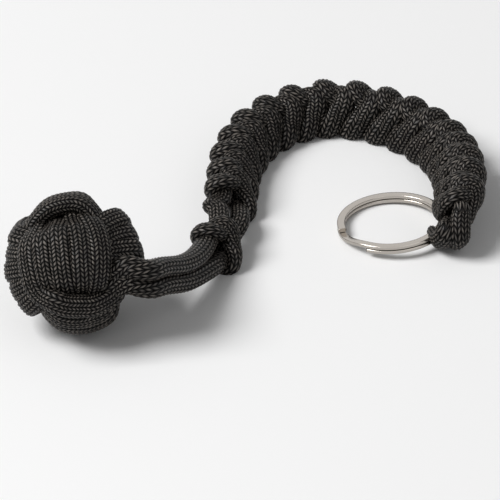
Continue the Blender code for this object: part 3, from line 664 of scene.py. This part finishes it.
def black_braid():
    """Braided black nylon sheath: each pick a slanted pillow of glossy filaments, with painted highlights on
    the crests and painted shade between the picks.

    Nylon's IOR is 1.53. The picks come from the cord's own columns and picks in its UV map, as the
    relief does. The filaments are drawn five to a pick, because the real ones are too fine to show.
    """
    made, tree, shader = finish_of("braided_black_nylon")
    uv = add(tree, "ShaderNodeUVMap", uv_map="UVMap")[0]
    column, pick = add(tree, "ShaderNodeSeparateXYZ", {0: uv})[:2]
    number = add(tree, "ShaderNodeMath", {0: column}, operation="FLOOR")[0]
    odd = add(tree, "ShaderNodeMath", {0: number, 1: 2.0}, operation="MODULO")[0]
    hand = add(tree, "ShaderNodeMath", {0: odd, 1: -2.0, 2: 1.0}, operation="MULTIPLY_ADD")[0]
    in_column = add(tree, "ShaderNodeMath", {0: column}, operation="FRACT")[0]
    x = add(tree, "ShaderNodeMath", {0: in_column, 1: 0.5}, operation="SUBTRACT")[0]
    leans = add(tree, "ShaderNodeMath", {0: hand, 1: x}, operation="MULTIPLY")[0]
    slant = add(tree, "ShaderNodeMath", {0: leans, 1: PICK_SLANT}, operation="MULTIPLY")[0]
    phase = add(tree, "ShaderNodeMath", {0: pick, 1: slant}, operation="ADD")[0]
    in_pick = add(tree, "ShaderNodeMath", {0: phase}, operation="FRACT")[0]
    y = add(tree, "ShaderNodeMath", {0: in_pick, 1: 0.5}, operation="SUBTRACT")[0]
    crowns = []
    for across in (x, y):
        square = add(tree, "ShaderNodeMath", {0: across, 1: across}, operation="MULTIPLY")[0]
        crown = add(tree, "ShaderNodeMath", {0: square, 1: -4.0, 2: 1.0}, operation="MULTIPLY_ADD")[0]
        crowns.append(crown)
    height = add(tree, "ShaderNodeMath", {0: crowns[0], 1: crowns[1]}, operation="MULTIPLY")[0]
    turns = add(tree, "ShaderNodeMath", {0: phase, 1: 2 * math.pi * FILAMENTS}, operation="MULTIPLY")[0]
    filament = add(tree, "ShaderNodeMath", {0: turns}, operation="SINE")[0]
    pick_number = add(tree, "ShaderNodeMath", {0: phase}, operation="FLOOR")[0]
    own = add(tree, "ShaderNodeCombineXYZ", {0: number, 1: pick_number})[0]
    worn = add(tree, "ShaderNodeTexWhiteNoise", {"Vector": own}, noise_dimensions="2D")["Value"]
    # Painted light and shade: each crest is painted one of two greys, chosen at random per pick, for the
    # highlight the key light puts on it. The grooves are painted near black for the shade between the picks.
    # The nylon itself is black all over.
    dull, bright, painted_groove_shade = (colour(text) for text in ("#494541", "#7a736c", "#030303"))
    crest = add(tree, "ShaderNodeMix", {0: worn, 6: dull, 7: bright}, data_type="RGBA")[2]
    lit = add(tree, "ShaderNodeMath", {0: height, 1: CREST_SHARPNESS}, operation="POWER")[0]
    painted_light_and_shade = add(tree, "ShaderNodeMix", {0: lit, 6: painted_groove_shade, 7: crest}, data_type="RGBA")[2]
    tree.links.new(painted_light_and_shade, shader.inputs["Base Color"])
    rough = add(tree, "ShaderNodeMath", {0: worn, 1: WEAR_ROUGHENS, 2: PICK_ROUGHNESS},
                operation="MULTIPLY_ADD")[0]
    tree.links.new(rough, shader.inputs["Roughness"])
    # The gloss is turned down in the grooves too, standing in for their shade.
    gloss = add(tree, "ShaderNodeMath", {0: height, 1: CREST_GLOSS, 2: GROOVE_GLOSS},
                operation="MULTIPLY_ADD")[0]
    tree.links.new(gloss, shader.inputs["Specular IOR Level"])
    pillow = add(tree, "ShaderNodeBump", {"Height": height, "Strength": 0.9,
                                          "Distance": PICK_HEIGHT * MM})[0]
    bump = add(tree, "ShaderNodeBump", {"Height": filament, "Strength": 0.3,
                                        "Distance": FILAMENT_HEIGHT * MM, "Normal": pillow})[0]
    tree.links.new(bump, shader.inputs["Normal"])
    shader.inputs["IOR"].default_value = 1.53
    return made


def bright_metal(name, tint, marks_a_mm, detail, roughness):
    """A metal whose roughness goes from the first value to the second over its fine marks."""
    made, tree, shader = finish_of(name)
    place = add(tree, "ShaderNodeTexCoord")["Object"]
    marks = add(tree, "ShaderNodeTexNoise", {"Vector": place, "Scale": marks_a_mm / MM,
                                             "Detail": detail})["Fac"]
    low, high = roughness
    rough = add(tree, "ShaderNodeMath", {0: marks, 1: high - low, 2: low}, operation="MULTIPLY_ADD")[0]
    tree.links.new(rough, shader.inputs["Roughness"])
    shader.inputs["Base Color"].default_value = colour(tint)
    shader.inputs["Metallic"].default_value = 1.0
    return made


def ring_surface():
    """The split ring: one flat wire with rounded edges, two coils round, stepping up between them."""
    radius = (RING_OUTER - RING_WIRE_WIDTH) / 2
    rise = RING_WIRE_HEIGHT + RING_COIL_GAP
    turn = RING_STEP_FROM + 360 - RING_STEP_TO
    total = 360 + turn
    swept = np.linspace(0, total, RING_ROWS)
    climb = np.clip((swept - turn) / (360 - turn), 0, 1)
    level = RING_WIRE_HEIGHT / 2 + rise * climb * climb * (3 - 2 * climb)
    angle = np.radians(RING_STEP_TO + swept)
    around = np.linspace(0, 2 * np.pi, RING_SIDES + 1)
    c, s = np.cos(around), np.sin(around)
    x = RING_WIRE_WIDTH / 2 * np.sign(c) * np.abs(c) ** RING_SQUARE
    z = RING_WIRE_HEIGHT / 2 * np.sign(s) * np.abs(s) ** RING_SQUARE
    reach = radius + x[None]
    grid = np.stack([reach * np.cos(angle)[:, None], reach * np.sin(angle)[:, None],
                     level[:, None] + z[None]], axis=-1)
    low = math.radians(RING_LOW_SIDE)
    tilt = math.asin((BIGHT_UNDER_RING + RING_OVER_CORD) / (RING_OUTER - RING_WIRE_WIDTH / 2))
    turn_up = np.array(Matrix.Rotation(tilt, 3, (-math.sin(low), math.cos(low), 0)))
    grid = grid @ turn_up.T + [*RING_CENTRE, RING_OUTER / 2 * math.sin(tilt)]
    uv = np.stack(np.broadcast_arrays(around[None], swept[:, None]), axis=-1)
    return grid, uv


def cords():
    """Every stretch of the cord as its own piece, riding on its body where it has one; the stem's two
    stretches are each cut in two halves, named after the bodies at their ends.
    """
    stretches = whole_cord()
    points, ahead, out, sections, picks, ends = fine_cord(stretches)
    points = points + SHIFT
    count = len(points)
    finish = black_braid()
    for (name, _), first, last in zip(stretches, ends, ends[1:]):
        halves = [(name + "_cord", first, last)]
        if name in STEM_HALVES:
            middle = (first + last) // 2
            halves = [(f"{name}_by_{body}", a, b) for body, a, b in
                      zip(STEM_HALVES[name], (first, middle), (middle, last))]
        for label, a, b in halves:
            rows = np.arange(a, b + 1) % count
            run = picks[rows] + picks[-1] * (rows < a)
            grid, uv = cord_surface(points[rows], ahead[rows], out[rows], sections[rows], run)
            made = piece(label, tube_mesh(label, grid, uv), finish, "cord", name)
            if name in BODY_OF:
                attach(made, BODY_OF[name])
            elif name.startswith("sinnet"):
                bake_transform(made)
            elif label.endswith("fist"):
                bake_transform(made)
            else:
                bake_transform(made)


def cad_shift():
    """From the plan, with the ball over its origin, to the frame, in millimetres."""
    low, high = (np.array(corner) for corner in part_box("core_ball"))
    middle = (low + high) / 2 / MM
    return np.array([middle[0], middle[1], 0.0])


def placed(point):
    """A point of the plan in the frame, in metres."""
    return tuple((np.array(point) + SHIFT) * MM)


def floor():
    """A pale floor, large enough for every view."""
    mesh = bpy.data.meshes.new("pale_floor")
    corners = [(x * FLOOR_REACH, y * FLOOR_REACH, 0) for x, y in ((-1, -1), (1, -1), (1, 1), (-1, 1))]
    mesh.from_pydata(corners, [], [(0, 1, 2, 3)])
    made = bpy.data.objects.new("pale_floor", mesh)
    bpy.context.scene.collection.objects.link(made)
    finish, _, shader = finish_of("matt_white_paper")
    shader.inputs["Base Color"].default_value = colour("#f6f6f6")
    shader.inputs["Roughness"].default_value = 0.9
    mesh.materials.append(finish)


def area_light(name, place, width, power):
    """A square soft light, turned to the middle of the lanyard."""
    lamp = bpy.data.lights.new(name, "AREA")
    lamp.size = width
    lamp.energy = power
    made = bpy.data.objects.new(name, lamp)
    bpy.context.scene.collection.objects.link(made)
    made.location = place
    made.rotation_euler = (-Vector(place)).to_track_quat("-Z", "Y").to_euler()


def white_room():
    """A world that is white to the camera, in metal and through glass, and softer as a light."""
    world = bpy.data.worlds.new("white_room")
    bpy.context.scene.world = world
    world.use_nodes = True
    tree = world.node_tree
    rays = add(tree, "ShaderNodeLightPath")
    seen = add(tree, "ShaderNodeMath", {0: rays["Is Camera Ray"], 1: rays["Is Transmission Ray"]},
               operation="ADD")[0]
    seen = add(tree, "ShaderNodeMath", {0: seen, 1: rays["Is Glossy Ray"]}, operation="ADD")[0]
    seen = add(tree, "ShaderNodeMath", {0: seen, 1: 1.0}, operation="MINIMUM")[0]
    strength = add(tree, "ShaderNodeMath", {0: seen, 1: ROOM_LIGHT}, operation="MAXIMUM")[0]
    background = tree.nodes["Background"]
    background.inputs["Color"].default_value = (1, 1, 1, 1)
    tree.links.new(strength, background.inputs["Strength"])


def studio():
    """Plain soft light from the upper left and the camera at the photo's view."""
    scene = bpy.context.scene
    scene.view_settings.view_transform = "Standard"
    area_light("key_light", KEY_PLACE, KEY_WIDTH, KEY_POWER)
    area_light("fill_light", FILL_PLACE, FILL_WIDTH, FILL_POWER)
    white_room()
    elevation = math.radians(CAMERA_ELEVATION)
    away = Vector((0, -math.cos(elevation), math.sin(elevation)))
    camera = bpy.data.cameras.new("camera")
    camera.sensor_width = CAMERA_SENSOR
    camera.lens = CAMERA_SENSOR * CAMERA_DISTANCE / (FRAME_WIDTH * MM)
    camera.clip_end = CAMERA_SEES
    made = bpy.data.objects.new("camera", camera)
    bpy.context.scene.collection.objects.link(made)
    made.location = Vector(placed(CAMERA_TARGET)) + away * CAMERA_DISTANCE
    made.rotation_euler = (-away).to_track_quat("-Z", "Y").to_euler()
    scene.camera = made


SHIFT = cad_shift()
cords()

# Nickel-plated spring steel, tumbled and polished: bright, with faint marks along the wire
polished_nickel = bright_metal("polished_nickel", "#b3ada6", 0.9, 3.0, (0.10, 0.20))
ring_grid, ring_uv = ring_surface()
ring = piece("polished_split_ring", tube_mesh("polished_split_ring", ring_grid + SHIFT, ring_uv),
             polished_nickel, "ring", "split_ring")
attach(ring, "ring")

# Bearing steel, ground and dull after its time in the fist; it is hidden there
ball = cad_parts["core_ball"]
ball.data.materials.clear()
ball.data.materials.append(bright_metal("ground_bearing_steel", "#b9babc", 1.5, 2.0, (0.25, 0.45)))

floor()
studio()
